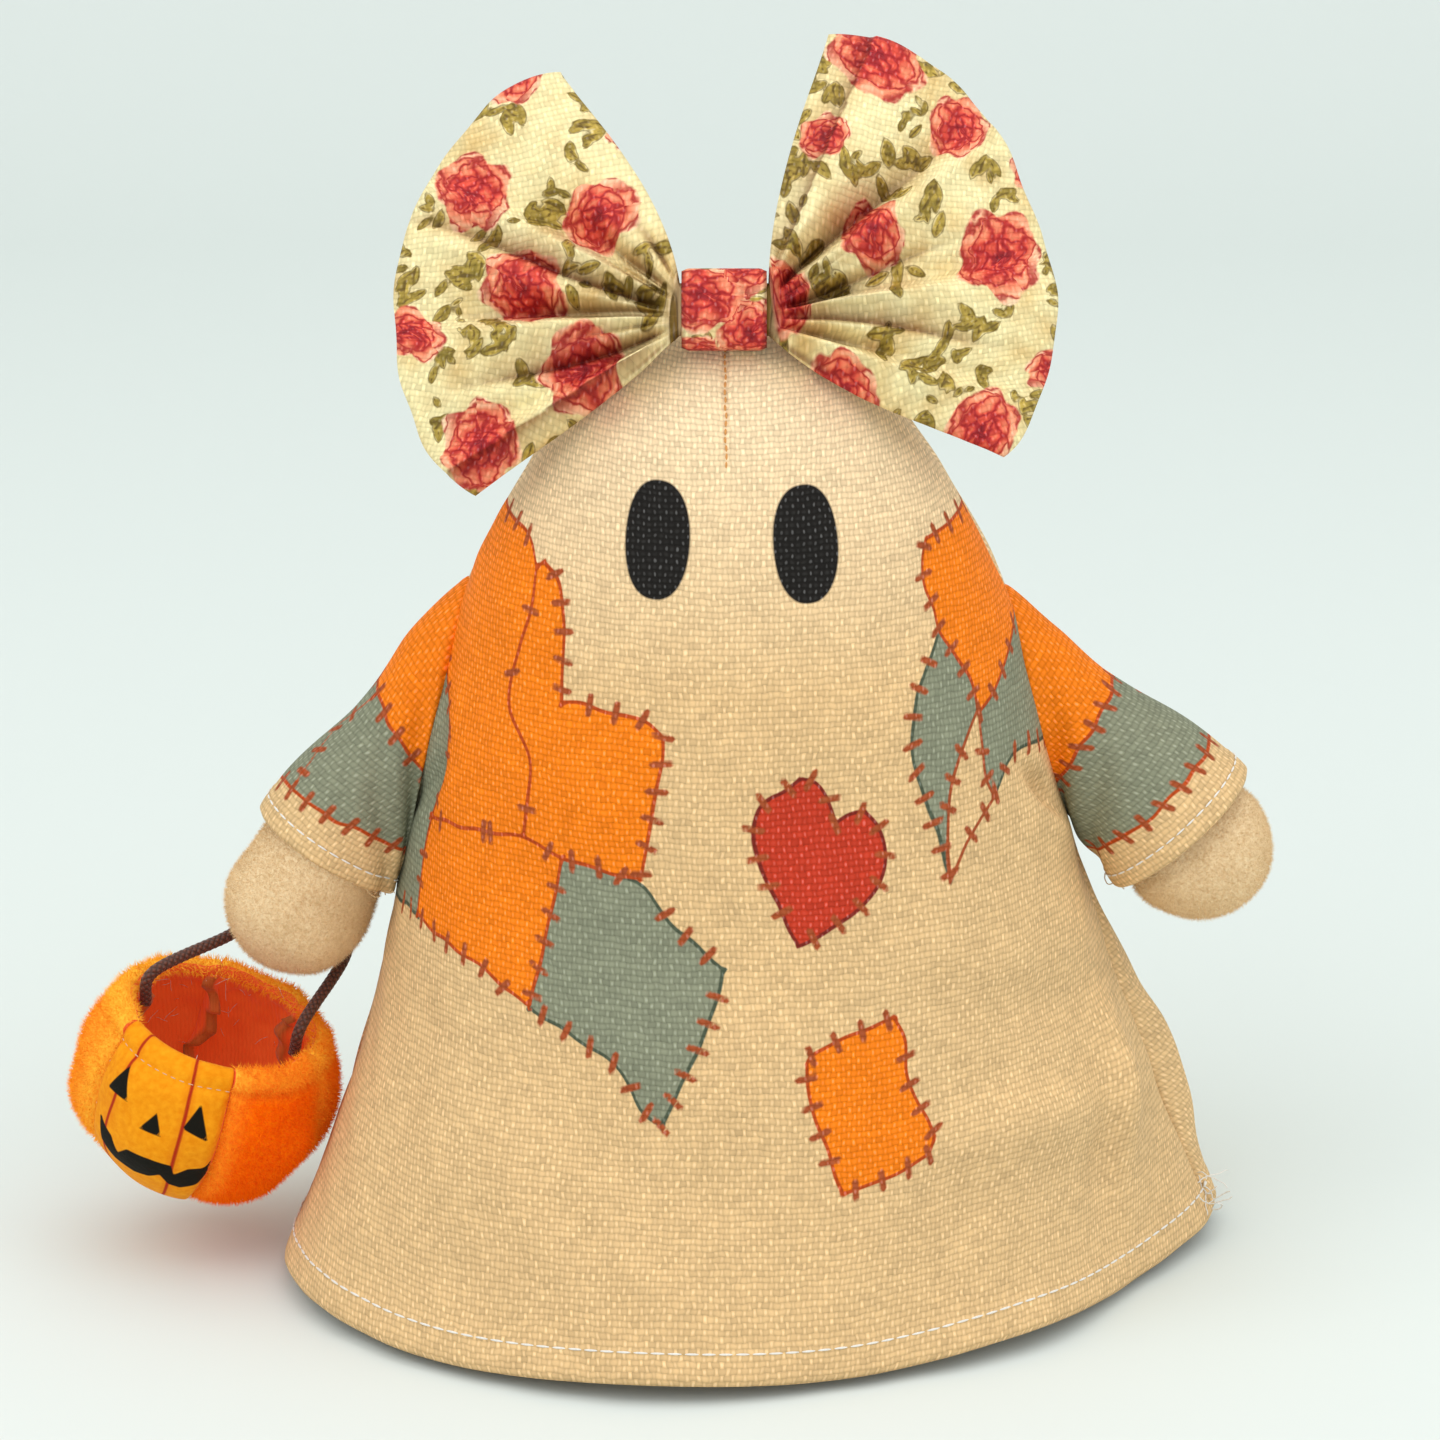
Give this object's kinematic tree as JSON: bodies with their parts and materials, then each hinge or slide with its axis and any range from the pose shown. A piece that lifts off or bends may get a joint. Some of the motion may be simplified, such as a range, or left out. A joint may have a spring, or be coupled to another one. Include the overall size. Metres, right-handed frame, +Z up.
{
  "type": "plush ghost",
  "caption": "Bell-shaped plush ghost in a patchwork burlap robe, with a bow on its head, short stuffed arms and a plush pumpkin basket hanging from one hand.",
  "frame": {"origin": "middle of the flat base disc's underside, where the plush rests on a table", "axes": "+Z up through the head, -Y the way the face looks, +X the ghost's own left, which is on the right as one looks at its face"},
  "size_m": [0.2163, 0.1529, 0.2198],
  "materials": {
    "burlap": "coarse polyester faux burlap, printed with patches",
    "hand_plush": "short-pile plush",
    "floral_burlap": "coarse faux burlap printed with roses",
    "pumpkin_plush": "short-pile plush",
    "pumpkin_face": "smooth brushed knit with a printed face",
    "brown_cord": "braided polyester cord",
    "stuffing": "polyester fibrefill in a lining",
    "pellet_bag": "cotton bag of plastic pellets",
    "base_card": "stiff board covered with cloth"
  },
  "bodies": {
    "root": {"robe_front": "burlap", "robe_back": "burlap", "sleeve_right": "burlap", "sleeve_left": "burlap", "arm_right": "hand_plush", "arm_left": "hand_plush", "stuffed_body": "stuffing", "pellet_bag": "pellet_bag", "base_disc": "base_card", "bow_wings": "floral_burlap", "bow_knot": "floral_burlap", "pumpkin_face": "pumpkin_face", "pumpkin_gore_1": "pumpkin_plush", "pumpkin_gore_2": "pumpkin_plush", "pumpkin_gore_3": "pumpkin_plush", "pumpkin_gore_4": "pumpkin_plush", "pumpkin_gore_5": "pumpkin_plush", "basket_handle": "brown_cord"}
  },
  "joints": []
}
